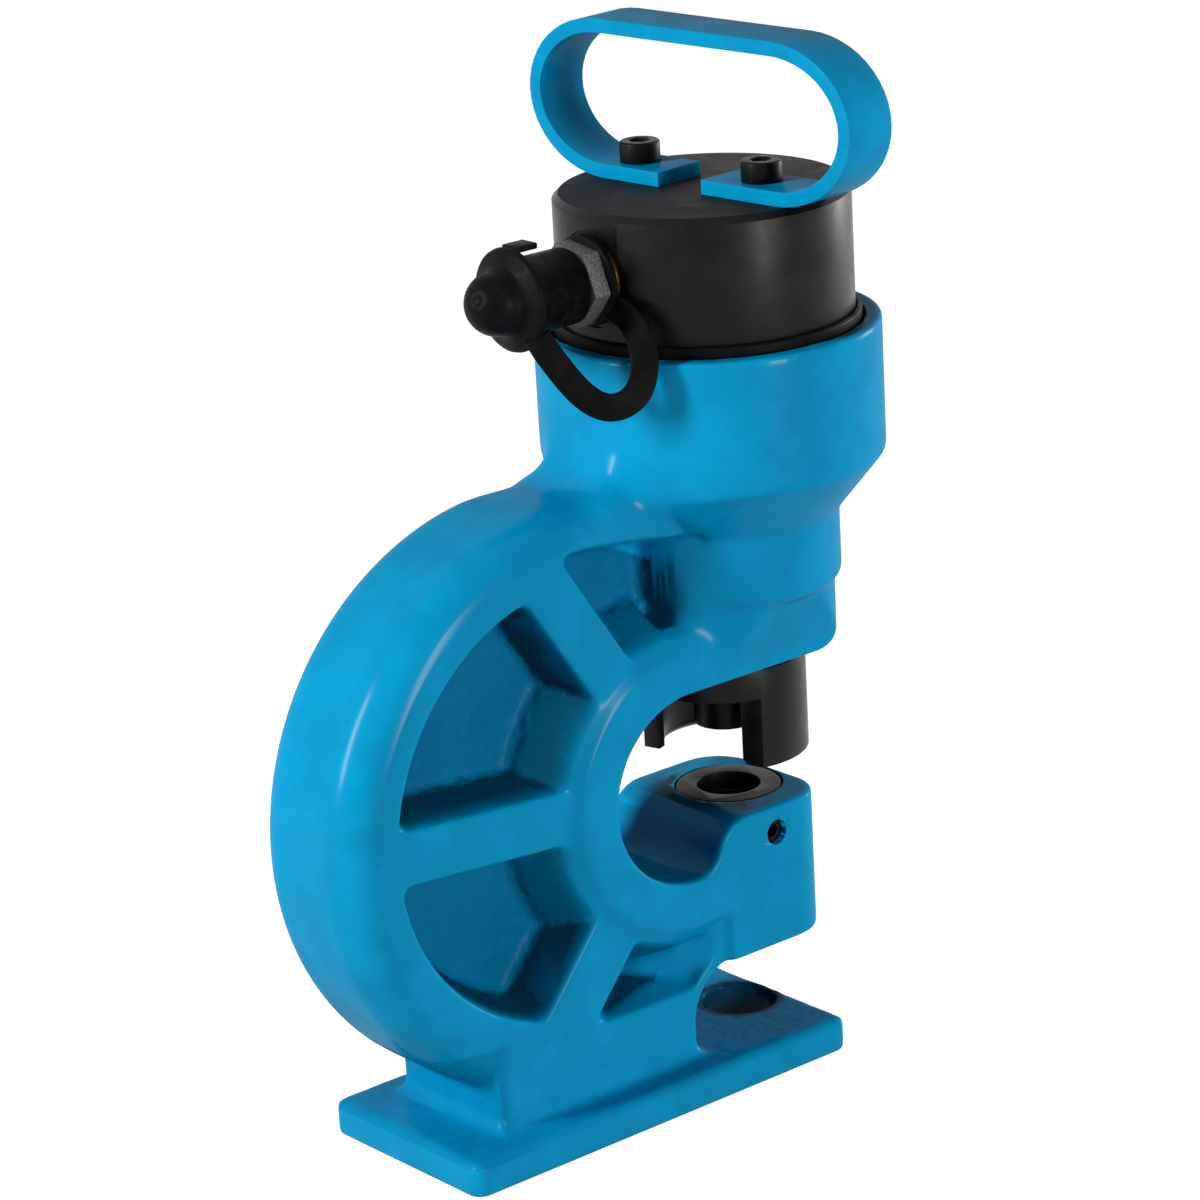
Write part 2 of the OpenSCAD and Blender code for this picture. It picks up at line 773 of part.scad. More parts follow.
module cylinder_body() {
    foot = seat_z + gap;
    color("#232323") difference() {
        rotate_extrude() polygon([
            [bore_r, foot], [cyl_spigot_r, foot], [cyl_spigot_r, shoulder_z], [cyl_r, shoulder_z],
            [cyl_r, cyl_top - cyl_chamfer], [cyl_r - cyl_chamfer, cyl_top], [0, cyl_top],
            [0, bore_top], [bore_r, bore_top],
        ]);
        on_coupler() {
            translate([0, 0, coupler_seat]) cylinder(r = coupler_seat_r, h = cyl_r);
            translate([0, 0, thread_end - gap])
                cylinder(d = port_thread_d + 2 * fit, h = cyl_r);
            translate([0, 0, bore_r - over]) cylinder(d = oil_way_d, h = cyl_r - bore_r + over);
        }
        at_handle_screws(cyl_top - screw_hole_depth)
            cylinder(d = screw_d + 2 * fit, h = screw_hole_depth + over);
    }
}

module dust_ring() {
    w = shoulder_r - cyl_r - fit;
    color("#151515") rotate_extrude() translate([cyl_r + fit / 2, shoulder_z]) {
        square([w, shoulder_depth + ring_proud - w / 2]);
        translate([w / 2, shoulder_depth + ring_proud - w / 2]) circle(d = w);
    }
}

// What is screwed to the top of the cylinder stands a little turned about the punch axis
module at_handle_screws(z) {
    rotate(handle_turn) for (side = [-1, 1]) translate([0, side * handle_screw_y, z]) children();
}

// A long loop with elliptical ends, standing on the first axis
module loop_shape(l, h, end) {
    steps = 24;
    polygon([
        for (side = [1, -1]) for (i = [0:steps])
            let (a = 180 * i / steps - 90)
                [side * (l / 2 - end + end * cos(a)), h / 2 + side * h / 2 * sin(a)],
    ]);
}

module handle() {
    t = handle_t;
    color("#0c86b8") difference() {
        rotate(handle_turn) translate([0, 0, cyl_top]) along_x(-handle_w / 2, handle_w)
            difference() {
                translate([-handle_shift, 0]) loop_shape(handle_len, handle_h, handle_end);
                translate([-handle_shift, t])
                    loop_shape(handle_len - 2 * t, handle_h - 2 * t, handle_end - t);
                translate([-handle_gap / 2, -over]) square([handle_gap, t + 2 * over]);
            }
        at_handle_screws(cyl_top - over) cylinder(d = screw_d + 2 * gap, h = t + 2 * over);
    }
}

// A socket head screw, its head's underside at the origin
module socket_screw(d, head_d, head_h, length, socket) {
    edge = d / 16;
    difference() {
        rotate_extrude() polygon([
            [0, -length], [d / 2 - 2 * edge, -length], [d / 2, 2 * edge - length], [d / 2, 0],
            [head_d / 2, 0], [head_d / 2, head_h - edge], [head_d / 2 - edge, head_h],
            [0, head_h],
        ]);
        translate([0, 0, head_h / 2]) linear_extrude(height = head_h) hexagon(socket);
    }
}

module handle_screws() {
    color("#1d1d1d") at_handle_screws(cyl_top + handle_t)
        socket_screw(screw_d, screw_head_d, screw_head_h, screw_hole_depth + handle_t - gap,
            screw_d * socket_share);
}

module piston() {
    outer = bore_r - run_gap;
    color("#8d9093") difference() {
        rotate_extrude() difference() {
            translate([0, piston_z]) square([outer, piston_h]);
            translate([bore_r - seal_depth, piston_z + seal_start]) square([reach, seal_w]);
            translate([bore_r - wear_depth, piston_z + wear_start]) square([reach, wear_w]);
        }
        translate([0, 0, piston_z - over]) cylinder(d = piston_screw_d + 2 * fit, h = reach);
        translate([0, 0, piston_top - recess_h])
            cylinder(d = piston_screw_head_d + 2 * gap, h = recess_h + over);
    }
}

module piston_seal() {
    color("#1a1a1a") tube(bore_r - run_gap, bore_r - seal_depth, piston_z + seal_start, seal_w);
}

module piston_wear_ring() {
    color("#c9b98f") tube(bore_r - run_gap, bore_r - wear_depth, piston_z + wear_start, wear_w);
}

module piston_rod() {
    color("#b9bcc0") difference() {
        translate([0, 0, rod_bottom]) cylinder(d = rod_d, h = piston_z - rod_bottom);
        translate([0, 0, piston_z - piston_screw_reach - gap])
            cylinder(d = piston_screw_d + 2 * fit, h = piston_screw_reach + over);
    }
}

module piston_screw() {
    color("#3a3a3a") translate([0, 0, piston_top - recess_h]) difference() {
        union() {
            translate([0, 0, recess_h - piston_h - piston_screw_reach])
                cylinder(d = piston_screw_d, h = piston_screw_reach + piston_h);
            cylinder(d = piston_screw_head_d, h = recess_h);
        }
        translate([0, 0, recess_h / 2]) linear_extrude(height = recess_h)
            hexagon(piston_screw_d * socket_share);
    }
}

// Points of a helix about the vertical axis, with its wire's centre at each end a wire's
// radius inside the space that it fills
function coil_path(r, z0, h, wire, turns, steps) = [
    for (i = [0:turns * steps])
        [r * cos(360 * i / steps), r * sin(360 * i / steps),
            z0 + wire / 2 + (h - wire) * i / (turns * steps)]
];

// A round wire along that helix, as one closed skin
module coil(r, z0, h, wire, turns) {
    steps = 8;
    sides = 6;
    path = coil_path(r, z0, h, wire, turns, steps);
    count = len(path);
    rings = [
        for (i = [0:count - 1]) for (k = [0:sides - 1])
            let (a = 360 * i / steps, b = 360 * k / sides, out = r + wire / 2 * cos(b))
                [out * cos(a), out * sin(a), path[i][2] + wire / 2 * sin(b)]
    ];
    walls = [
        for (i = [0:count - 2]) for (k = [0:sides - 1])
            let (p = i * sides + k, q = i * sides + (k + 1) % sides)
                each [[p, q, p + sides], [q, q + sides, p + sides]]
    ];
    ends = [
        for (k = [1:sides - 2]) each [
            [0, k + 1, k],
            [(count - 1) * sides, (count - 1) * sides + k, (count - 1) * sides + k + 1],
        ]
    ];
    echo(least_gap_between_turns = (h - wire) / turns - wire);
    polyhedron(points = rings, faces = concat(walls, ends));
}

module return_spring() {
    color("#5d6063")
        coil(spring_r, spring_seat, piston_z - spring_seat, spring_wire_d, spring_turns);
}

module guide_bush() {
    color("#b08d57") difference() {
        union() {
            translate([0, 0, bush_bottom]) cylinder(r = bush_r, h = chamber_z - bush_bottom);
            translate([0, 0, chamber_z]) cylinder(r = chamber_r - gap, h = bush_flange_h);
        }
        translate([0, 0, bush_bottom - over]) cylinder(r = rod_r + run_gap, h = reach);
    }
}

module rod_wiper() {
    color("#1a1a1a") tube(throat_bore_r, rod_r + gap, wiper_z, wiper_h);
}

module punch() {
    shank = rod_bottom - punch_head_h - punch_tip;
    color("#3c3c3e") translate([0, 0, punch_tip]) rotate_extrude() polygon([
        [0, 0], [punch_d / 2, 0], [punch_d / 2, shank], [punch_head_d / 2, shank],
        [punch_head_d / 2, shank + punch_head_h], [0, shank + punch_head_h],
    ]);
}

module punch_nut() {
    head_z = rod_bottom - punch_head_h;
    color("#2a2a2a") difference() {
        translate([0, 0, head_z - nut_lip]) intersection() {
            cylinder(d = nut_d, h = nut_lip + punch_head_h + nut_thread_h);
            linear_extrude(height = reach) hexagon(nut_flats);
        }
        translate([0, 0, head_z - nut_lip - over]) cylinder(d = punch_d + 2 * fit, h = reach);
        translate([0, 0, head_z]) cylinder(d = punch_head_d + 2 * fit, h = punch_head_h);
        translate([0, 0, rod_bottom]) cylinder(d = rod_d + fit, h = reach);
    }
}

module stripper() {
    leg_h = throat_top - stripper_ring_h - stripper_bottom;
    mouth = stripper_bore_d / 2;
    color("#262626") difference() {
        union() {
            translate([0, 0, stripper_bottom])
                cylinder(d = stripper_d, h = throat_top - stripper_bottom);
            translate([0, 0, throat_top - over]) cylinder(d = spigot_d, h = spigot_h + over);
        }
        translate([0, 0, stripper_bottom - over]) cylinder(r = mouth, h = reach);
        translate([0, 0, stripper_bottom - stripper_chamfer])
            cylinder(r1 = mouth + 2 * stripper_chamfer, r2 = mouth, h = 2 * stripper_chamfer);
        for (side = [-1, 1])
            translate([side * (stripper_leg_w + stripper_d) / 2, 0, stripper_bottom + leg_h / 2])
                cube([stripper_d, stripper_d + over, leg_h], center = true);
        translate([spigot_d / 2 - dimple, 0, stripper_screw_z]) rotate([0, 90, 0])
            cylinder(d = stripper_screw_d + 2 * fit, h = over);
    }
}

// A headless set screw along Z, its tip at the origin
module set_screw(d, length) {
    difference() {
        cylinder(d = d, h = length);
        translate([0, 0, length / 2]) linear_extrude(height = length) hexagon(d / 2);
    }
}

module stripper_screw() {
    color("#2b2b2b") translate([spigot_d / 2 - dimple + fit, 0, stripper_screw_z])
        rotate([0, 90, 0]) set_screw(stripper_screw_d, stripper_screw_len);
}

module die() {
    edge = punch_d / 2 + punch_gap;
    color("#2f2f31") translate([0, 0, jaw_top - die_h]) rotate_extrude() polygon([
        [edge + die_relief, 0], [die_d / 2, 0], [die_d / 2, die_h - die_chamfer],
        [die_d / 2 - die_chamfer, die_h], [edge, die_h], [edge, die_h - die_land],
        [edge + die_relief, die_h - die_land - die_relief],
    ]);
}

module die_set_screw() {
    color("#242424")
        translate([-die_screw_back, -die_d / 2 - fit, jaw_top - die_screw_depth])
            upright() set_screw(die_screw_d, die_screw_len);
}

module coupler_body() {
    color("#6b6b6b") on_coupler() difference() {
        union() {
            translate([0, 0, thread_end])
                cylinder(d = port_thread_d, h = hex_back - thread_end + over);
            translate([0, 0, hex_back]) linear_extrude(height = hex_h)
                rotate(hex_turn) hexagon(hex_flats);
            rotate_extrude() polygon([
                [0, hex_front - over], [nipple_r, hex_front - over],
                [nipple_r, groove_z], [nipple_r - groove, groove_z + groove],
                [nipple_r - groove, groove_z + 3 * groove], [nipple_r, groove_z + 4 * groove],
                [nipple_r, nipple_end - groove], [nipple_r - groove, nipple_end], [0, nipple_end],
            ]);
        }
        translate([0, 0, thread_end - over])
            cylinder(r = poppet_bore_r, h = nipple_end - mouth_wall - thread_end + over);
        translate([0, 0, hex_back]) cylinder(r = mouth_r, h = nipple_end);
    }
}

module coupler_washer() {
    color("#8a6d4a") on_coupler()
        tube(strap_ring_r - seal_washer_t, port_thread_d / 2 + fit, coupler_seat, seal_washer_t);
}

module coupler_poppet() {
    color("#9b9da0") on_coupler() {
        translate([0, 0, poppet_back])
            cylinder(r = poppet_bore_r - fit, h = poppet_h);
        translate([0, 0, poppet_back]) cylinder(r = mouth_r - gap, h = nipple_end - groove - poppet_back);
    }
}

module coupler_spring() {
    color("#77797b") on_coupler()
        coil(poppet_bore_r - poppet_wire_d, spring_foot, poppet_back - spring_foot,
            poppet_wire_d, poppet_turns);
}

module coupler_retainer() {
    color("#77797b") on_coupler()
        tube(poppet_bore_r, mouth_r, spring_foot - retainer_h, retainer_h);
}

module dust_cap() {
    skirt_end = cap_foot + cap_len - cap_bead_w - cap_dome_r;
    bead_end = skirt_end + cap_bead_w;
    edge = cap_bead_w / 4;
    tip = cap_foot + cap_len;
    color("#161616") on_coupler() {
        difference() {
            rotate_extrude() {
                translate([0, cap_foot]) square([cap_r, skirt_end - cap_foot + edge]);
                translate([0, skirt_end + edge]) square([cap_bead_r, cap_bead_w - 2 * edge]);
                translate([0, skirt_end]) square([cap_bead_r - edge, cap_bead_w]);
                translate([cap_bead_r - edge, skirt_end + edge]) circle(r = edge);
                translate([cap_bead_r - edge, bead_end - edge]) circle(r = edge);
                translate([0, bead_end]) difference() {
                    circle(r = cap_dome_r);
                    translate([-reach, -reach]) square([reach, 2 * reach]);
                }
            }
            translate([0, 0, tip]) sphere(r = cap_dimple_r);
            translate([0, 0, cap_foot - over]) cylinder(r = nipple_r + gap, h = nipple_len + gap + over);
        }
        translate([cap_bead_r - gap - tab_t, -tab_len / 3, skirt_end - tab_len])
            cube([tab_t, tab_len * 2 / 3, tab_len + edge]);
    }
}

// The strap: a ring clamped behind the hexagon and a band that hangs in a loop to the cap
module cap_strap() {
    color("#161616") {
        on_coupler()
            tube(strap_ring_r, port_thread_d / 2 + fit, coupler_seat + seal_washer_t, strap_t);
        for (i = [0:len(strap_path) - 2]) hull() {
            strap_bead(strap_path[i]);
            strap_bead(strap_path[i + 1]);
        }
    }
}

module strap_bead(p) {
    translate([p.x, p.y, coupler_z + p.z]) rotate([90, 0, -strap_turn + 90]) rotate([0, 90, 0])
        cylinder(d = strap_w, h = strap_t, center = true, $fn = 24);
}

frame();
cylinder_body();
dust_ring();
handle();
handle_screws();
piston();
piston_rod();
piston_screw();
piston_seal();
piston_wear_ring();
return_spring();
guide_bush();
rod_wiper();
punch();
punch_nut();
stripper();
stripper_screw();
die();
die_set_screw();
coupler_body();
coupler_washer();
coupler_poppet();
coupler_spring();
coupler_retainer();
dust_cap();
cap_strap();
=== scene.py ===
# %% [markdown]
# # A bench hydraulic hole punch
# The machine is a C-shaped iron casting with a blue coat of paint. It carries a black steel
# cylinder, a carrying handle, and a quick coupler under a rubber cap. The sizes and places of all
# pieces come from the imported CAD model, so this lesson only adds what CAD leaves out: the soft
# fillets of a casting, broken edges, rubber, and every finish.

# %% Load the frame
import json
import math

import bmesh
import bpy
import numpy as np
from mathutils import Matrix, Vector
from mathutils.noise import noise as noise_at


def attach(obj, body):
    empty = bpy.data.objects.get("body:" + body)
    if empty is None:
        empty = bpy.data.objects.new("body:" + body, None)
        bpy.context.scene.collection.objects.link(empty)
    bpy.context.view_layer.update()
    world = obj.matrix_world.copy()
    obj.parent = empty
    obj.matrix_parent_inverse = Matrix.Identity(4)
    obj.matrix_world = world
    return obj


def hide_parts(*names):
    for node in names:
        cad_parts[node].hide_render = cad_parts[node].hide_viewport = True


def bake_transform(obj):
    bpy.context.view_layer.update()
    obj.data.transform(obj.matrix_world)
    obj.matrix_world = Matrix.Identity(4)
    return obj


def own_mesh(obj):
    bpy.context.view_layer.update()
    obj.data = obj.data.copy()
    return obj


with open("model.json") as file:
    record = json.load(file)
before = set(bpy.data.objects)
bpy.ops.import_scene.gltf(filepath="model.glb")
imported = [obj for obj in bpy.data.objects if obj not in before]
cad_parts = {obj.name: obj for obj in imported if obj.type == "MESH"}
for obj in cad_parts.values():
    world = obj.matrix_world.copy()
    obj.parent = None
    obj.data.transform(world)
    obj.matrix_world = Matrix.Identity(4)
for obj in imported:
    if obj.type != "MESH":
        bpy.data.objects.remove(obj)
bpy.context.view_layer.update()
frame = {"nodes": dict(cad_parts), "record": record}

MM = 0.001


# %% [markdown]
# ## The camera
# A long lens stands about a metre and a half away, a little above the machine, and is rolled by
# three degrees. Its place was found by fitting known edges of the machine to the picture. The
# camera is built from those few numbers, so each one can be read and changed.

# %% Camera
CAMERA_AZIMUTH = 39.53
CAMERA_ELEVATION = 18.23
CAMERA_ROLL = -3.15
CAMERA_OFFSET_MM = (45.63, 140.33, 1443.4)
FOCAL_PIXELS = 4428.2
FRAME_PIXELS = 1200
SENSOR_MM = 36


def camera_matrix():
    az, el, roll = (math.radians(a) for a in (CAMERA_AZIMUTH, CAMERA_ELEVATION, CAMERA_ROLL))
    forward = Vector((math.sin(az) * math.cos(el), math.cos(az) * math.cos(el), -math.sin(el)))
    right = Vector((math.cos(az), -math.sin(az), 0))
    up = right.cross(forward)
    x_axis = right * math.cos(roll) + up * math.sin(roll)
    y_axis = up * math.cos(roll) - right * math.sin(roll)
    across, down, away = (v * MM for v in CAMERA_OFFSET_MM)
    place = -x_axis * across + y_axis * down - forward * away
    turn = Matrix((x_axis, y_axis, -forward)).transposed().to_4x4()
    return Matrix.Translation(place) @ turn


camera_data = bpy.data.cameras.new("camera")
camera_data.sensor_width = SENSOR_MM
camera_data.lens = FOCAL_PIXELS / FRAME_PIXELS * SENSOR_MM
camera = bpy.data.objects.new("camera", camera_data)
camera.matrix_world = camera_matrix()
bpy.context.scene.collection.objects.link(camera)
bpy.context.scene.camera = camera
print("camera at", [round(v, 3) for v in camera.matrix_world.translation])


# %% [markdown]
# ## Nodes and colours
# Every finish below is a small tree of shader nodes. One function adds a node with its settings
# and its links, and another turns an sRGB hex value, as a paint chart gives it, to linear light.

# %% Node and colour helpers
def linear(hex_value):
    """A colour written as #rrggbb, as the linear RGBA that a shader socket takes."""
    parts = [int(hex_value[i:i + 2], 16) / 255 for i in (1, 3, 5)]
    return tuple(v / 12.92 if v <= 0.04045 else ((v + 0.055) / 1.055) ** 2.4 for v in parts) + (1,)


def add_node(tree, kind, inputs=None, **settings):
    """A node of this kind. inputs maps a socket's name or number to a value or to a socket."""
    node = tree.nodes.new(kind)
    for name, value in settings.items():
        setattr(node, name, value)
    for key, value in (inputs or {}).items():
        if isinstance(value, bpy.types.NodeSocket):
            tree.links.new(value, node.inputs[key])
        else:
            node.inputs[key].default_value = value
    return node


def new_material(name):
    """An empty material: its tree, and the shader that its sockets are set on."""
    material = bpy.data.materials.new(name)
    material.use_nodes = True
    tree = material.node_tree
    tree.nodes.clear()
    shader = add_node(tree, "ShaderNodeBsdfPrincipled")
    add_node(tree, "ShaderNodeOutputMaterial", {"Surface": shader.outputs[0]})
    return material, tree, shader


def object_place(tree):
    return add_node(tree, "ShaderNodeTexCoord").outputs["Object"]


def noise(tree, place, grain_mm, detail=3, roughness=0.5):
    """Noise whose blotches are about grain_mm across."""
    return add_node(tree, "ShaderNodeTexNoise", {
        "Vector": place, "Scale": 1 / (grain_mm * MM), "Detail": detail, "Roughness": roughness,
    }).outputs["Fac"]


def spread(tree, value, low, high, to_low, to_high):
    """value from low..high, moved to to_low..to_high and held there."""
    return add_node(tree, "ShaderNodeMapRange", {
        "Value": value, "From Min": low, "From Max": high, "To Min": to_low, "To Max": to_high,
    }, interpolation_type="SMOOTHSTEP").outputs[0]


def mix_colour(tree, factor, first, second):
    mix = add_node(tree, "ShaderNodeMix", data_type="RGBA")
    a_socket, b_socket, result = mix.inputs[6], mix.inputs[7], mix.outputs[2]
    for socket, value in ((mix.inputs[0], factor), (a_socket, first), (b_socket, second)):
        if isinstance(value, bpy.types.NodeSocket):
            tree.links.new(value, socket)
        else:
            socket.default_value = value
    return result


def calculate(tree, operation, *values):
    node = add_node(tree, "ShaderNodeMath", dict(enumerate(values)), operation=operation)
    return node.outputs[0]


def bump(tree, height, distance_mm, strength=1, under=None):
    inputs = {"Height": height, "Distance": distance_mm * MM, "Strength": strength}
    if under is not None:
        inputs["Normal"] = under
    return add_node(tree, "ShaderNodeBump", inputs).outputs[0]


def two_tones(tree, value, low, high, first, second):
    """A colour that goes from the first hex value to the second as value goes low..high."""
    return mix_colour(tree, spread(tree, value, low, high, 0, 1), linear(first), linear(second))


def toned_down(tree, colour, attribute, most, hex_value):
    """The colour, mixed with another one by up to this much where the attribute is 1."""
    share = add_node(tree, "ShaderNodeAttribute", attribute_name=attribute).outputs["Fac"]
    factor = calculate(tree, "MULTIPLY", share, most)
    return mix_colour(tree, factor, colour, linear(hex_value)), share


def set_sockets(shader, values):
    """Values that are the same all over a material."""
    for name, value in values.items():
        shader.inputs[name].default_value = value


print("helpers ready")


# %% [markdown]
# ## The finishes
# Each finish starts from what the real surface is. The casting and the handle have a coat of
# blue enamel. The cylinder and the tools are steel with a black oxide, the cap and its strap are
# moulded rubber, and the working parts inside are ground steel, chrome and bronze.

# %% Blue enamel on a sand casting
ENAMEL = ("#0096c8", "#00a0d4")
# A thin clear skin over a matt body: lamps leave narrow streaks, and the white room none
ENAMEL_SKIN = {"Coat Weight": 0.15, "Coat IOR": 1.5, "Roughness": 0.5, "Specular IOR Level": 0}


def cast_paint():
    """Brushed-on enamel: an even blue with slow blotches. It fills the sand's grain on the open
    faces, and lets it show where the casting was never dressed. Where the grain shows, the blue is
    darkened as well. That is a painted shade, as the pockets' walls cast on their floors, and the
    other grained faces get it too. The steep walls of the pockets and the throat, and the slug
    hole,
    are painted far darker: painted shade of those deep places. The grain is drawn at 0.9 and 2.4
    mm, coarser than moulding sand, so that it shows."""
    material, tree, shader = new_material("blue enamel on a sand casting")
    place = object_place(tree)
    colour = two_tones(tree, noise(tree, place, 17, detail=4), 0.35, 0.65, *ENAMEL)
    # Where the grain shows, the blue is darkened: painted shade of the pockets' walls, on every
    # grained face
    colour, grain_and_shade = toned_down(tree, colour, "grain_and_shade", 0.62, "#004e74")
    # Painted shade: the steep walls of the pockets and the throat, and the slug hole, much darker
    colour, _ = toned_down(tree, colour, "painted_shade", 0.86, "#002f40")
    sand = noise(tree, place, 2.4, detail=2, roughness=0.55)
    fine = noise(tree, place, 0.9, detail=2)
    peel = noise(tree, place, 5, detail=1)
    grain = calculate(tree, "ADD", calculate(tree, "MULTIPLY", sand, 0.75),
                      calculate(tree, "MULTIPLY", fine, 0.25))
    rough = bump(tree, grain, 0.9, strength=spread(tree, grain_and_shade, 0, 1, 0.04, 0.75))
    normal = bump(tree, peel, 0.35, strength=0.35, under=rough)
    tree.links.new(colour, shader.inputs["Base Color"])
    tree.links.new(normal, shader.inputs["Normal"])
    tree.links.new(spread(tree, grain_and_shade, 0, 1, 0.2, 0.42), shader.inputs["Coat Roughness"])
    set_sockets(shader, ENAMEL_SKIN)
    return material


# %% Blue enamel on a bent bar
def bar_paint():
    """The same enamel over smooth rolled steel, with only a faint orange peel."""
    material, tree, shader = new_material("blue enamel on rolled bar")
    place = object_place(tree)
    colour = two_tones(tree, noise(tree, place, 14, detail=3), 0.35, 0.65, *ENAMEL)
    tree.links.new(colour, shader.inputs["Base Color"])
    tree.links.new(bump(tree, noise(tree, place, 3.5, detail=1), 0.2, strength=0.3),
                   shader.inputs["Normal"])
    set_sockets(shader, {**ENAMEL_SKIN, "Coat Roughness": 0.22})
    return material


# %% Steels
# A wave texture of scale 1 has one wave in this length
WAVE_TURN = 6.283


def steel(name, dark, light, roughness, turning_mm=0.5, metallic=1.0, depth_mm=0.01,
          specular=0.5, faced_rougher=0):
    """Turned or ground steel: rings of the cutting tool round the upright axis, far coarser
    here than real feed marks so that they show, and a slow cloudy change of colour. A faced top
    can be rougher than the barrel."""
    material, tree, shader = new_material(name)
    place = object_place(tree)
    cloud = noise(tree, place, 9, detail=4)
    colour = two_tones(tree, cloud, 0.3, 0.7, dark, light)
    rings = add_node(tree, "ShaderNodeTexWave", {
        "Vector": place, "Scale": 1 / (turning_mm * MM) / WAVE_TURN, "Distortion": 0.6,
        "Detail": 2,
    }, wave_type="BANDS", bands_direction="Z").outputs["Fac"]
    tree.links.new(colour, shader.inputs["Base Color"])
    tree.links.new(bump(tree, rings, depth_mm, strength=0.5), shader.inputs["Normal"])
    upward = add_node(tree, "ShaderNodeSeparateXYZ", {
        0: add_node(tree, "ShaderNodeNewGeometry").outputs["Normal"]}).outputs["Z"]
    rough = calculate(
        tree, "ADD", spread(tree, cloud, 0.3, 0.7, roughness - 0.05, roughness + 0.07),
        spread(tree, upward, 0.8, 0.95, 0, faced_rougher))
    tree.links.new(rough, shader.inputs["Roughness"])
    set_sockets(shader, {"Metallic": metallic, "Specular IOR Level": specular})
    return material


# %% Rubber
def rubber():
    """Moulded nitrile rubber: nearly black and dull, with a faint grain and a grey bloom."""
    material, tree, shader = new_material("moulded black rubber")
    place = object_place(tree)
    bloom = noise(tree, place, 4, detail=5, roughness=0.6)
    colour = two_tones(tree, bloom, 0.45, 0.75, "#090909", "#131313")
    tree.links.new(colour, shader.inputs["Base Color"])
    tree.links.new(bump(tree, noise(tree, place, 0.7, detail=2), 0.08, strength=0.5),
                   shader.inputs["Normal"])
    tree.links.new(spread(tree, bloom, 0.4, 0.7, 0.42, 0.62), shader.inputs["Roughness"])
    set_sockets(shader, {"IOR": 1.5, "Specular IOR Level": 0.05})
    return material


# %% Phosphated steel
def phosphate():
    """Phosphated steel of the coupler: a crystalline grey coat with a salt-and-pepper grain,
    drawn at half a millimetre so that it shows."""
    material, tree, shader = new_material("phosphated steel")
    place = object_place(tree)
    grain = noise(tree, place, 0.55, detail=3, roughness=0.7)
    colour = two_tones(tree, grain, 0.36, 0.64, "#3a3b3b", "#707171")
    tree.links.new(colour, shader.inputs["Base Color"])
    tree.links.new(bump(tree, grain, 0.12, strength=0.6), shader.inputs["Normal"])
    set_sockets(shader, {"Metallic": 0.35, "Roughness": 0.62})
    return material


# %% Make the finishes
finish = {
    "cast_paint": cast_paint(),
    "bar_paint": bar_paint(),
    "black_oxide": steel("black oxide on turned steel", "#080808", "#0f0f0f", 0.34,
                         metallic=0.0, specular=0.15, faced_rougher=0.3),
    "black_screw": steel("blackened alloy steel", "#070708", "#0c0c0d", 0.4, turning_mm=1,
                         metallic=0.0, specular=0.12),
    "tool_steel": steel("blackened tool steel", "#060707", "#0c0d0d", 0.36, metallic=0.0,
                        specular=0.1),
    "ground_steel": steel("ground steel", "#9a9da1", "#b4b7ba", 0.28),
    "chrome_rod": steel("hard chrome", "#c4c7cb", "#d3d6da", 0.12, depth_mm=0.002),
    "spring_steel": steel("oiled spring steel", "#4a4c4f", "#5f6165", 0.36),
    "bronze": steel("turned bearing bronze", "#a5763a", "#bd8d4c", 0.3),
    "rubber": rubber(),
    "phosphate": phosphate(),
}
print("finishes:", len(finish))


# %% [markdown]
# ## Meshes from the frame
# A CAD node arrives as loose triangles. A copy of it has its points merged, so that it becomes
# one closed skin that modifiers can work on. The flat faces lose their inner edges as well, and
# then a bevel can break the real edges as a file does.

# %% Mesh helpers
def merged_copy(node, dissolve=True):
    """A bmesh of a CAD node with its points merged and its flat faces whole."""
    bm = bmesh.new()
    bm.from_mesh(frame["nodes"][node].data)
    bmesh.ops.remove_doubles(bm, verts=bm.verts, dist=0.001 * MM)
    if dissolve:
        bmesh.ops.dissolve_limit(bm, angle_limit=math.radians(0.4), verts=bm.verts,
                                 edges=bm.edges)
    return bm


def new_piece(name, bm, material):
    """A new object of this mesh, in the scene, with its finish."""
    mesh = bpy.data.meshes.new(name)
    bm.to_mesh(mesh)
    bm.free()
    mesh.materials.append(material)
    mesh.shade_smooth()
    piece = bpy.data.objects.new(name, mesh)
    bpy.context.scene.collection.objects.link(piece)
    return piece


def apply_modifiers(piece):
    """Bakes the modifiers of a piece into a plain mesh."""
    graph = bpy.context.evaluated_depsgraph_get()
    mesh = bpy.data.meshes.new_from_object(piece.evaluated_get(graph))
    old = piece.data
    piece.modifiers.clear()
    piece.data = mesh
    bpy.data.meshes.remove(old)


def add_modifier(piece, kind, **settings):
    modifier = piece.modifiers.new(kind.lower(), kind)
    for name, value in settings.items():
        setattr(modifier, name, value)
    return modifier


def points_of(mesh):
    co = np.empty(len(mesh.vertices) * 3, dtype=np.float32)
    mesh.vertices.foreach_get("co", co)
    return co.reshape(-1, 3)


def normals_of(mesh):
    no = np.empty(len(mesh.vertices) * 3, dtype=np.float32)
    mesh.vertex_normals.foreach_get("vector", no)
    return no.reshape(-1, 3)


def set_points(mesh, points):
    mesh.vertices.foreach_set("co", points.astype(np.float32).ravel())
    mesh.update()


def voxel_remesh(piece, voxel_mm):
    add_modifier(piece, "REMESH", mode="VOXEL", voxel_size=voxel_mm * MM, use_smooth_shade=True)
    apply_modifiers(piece)


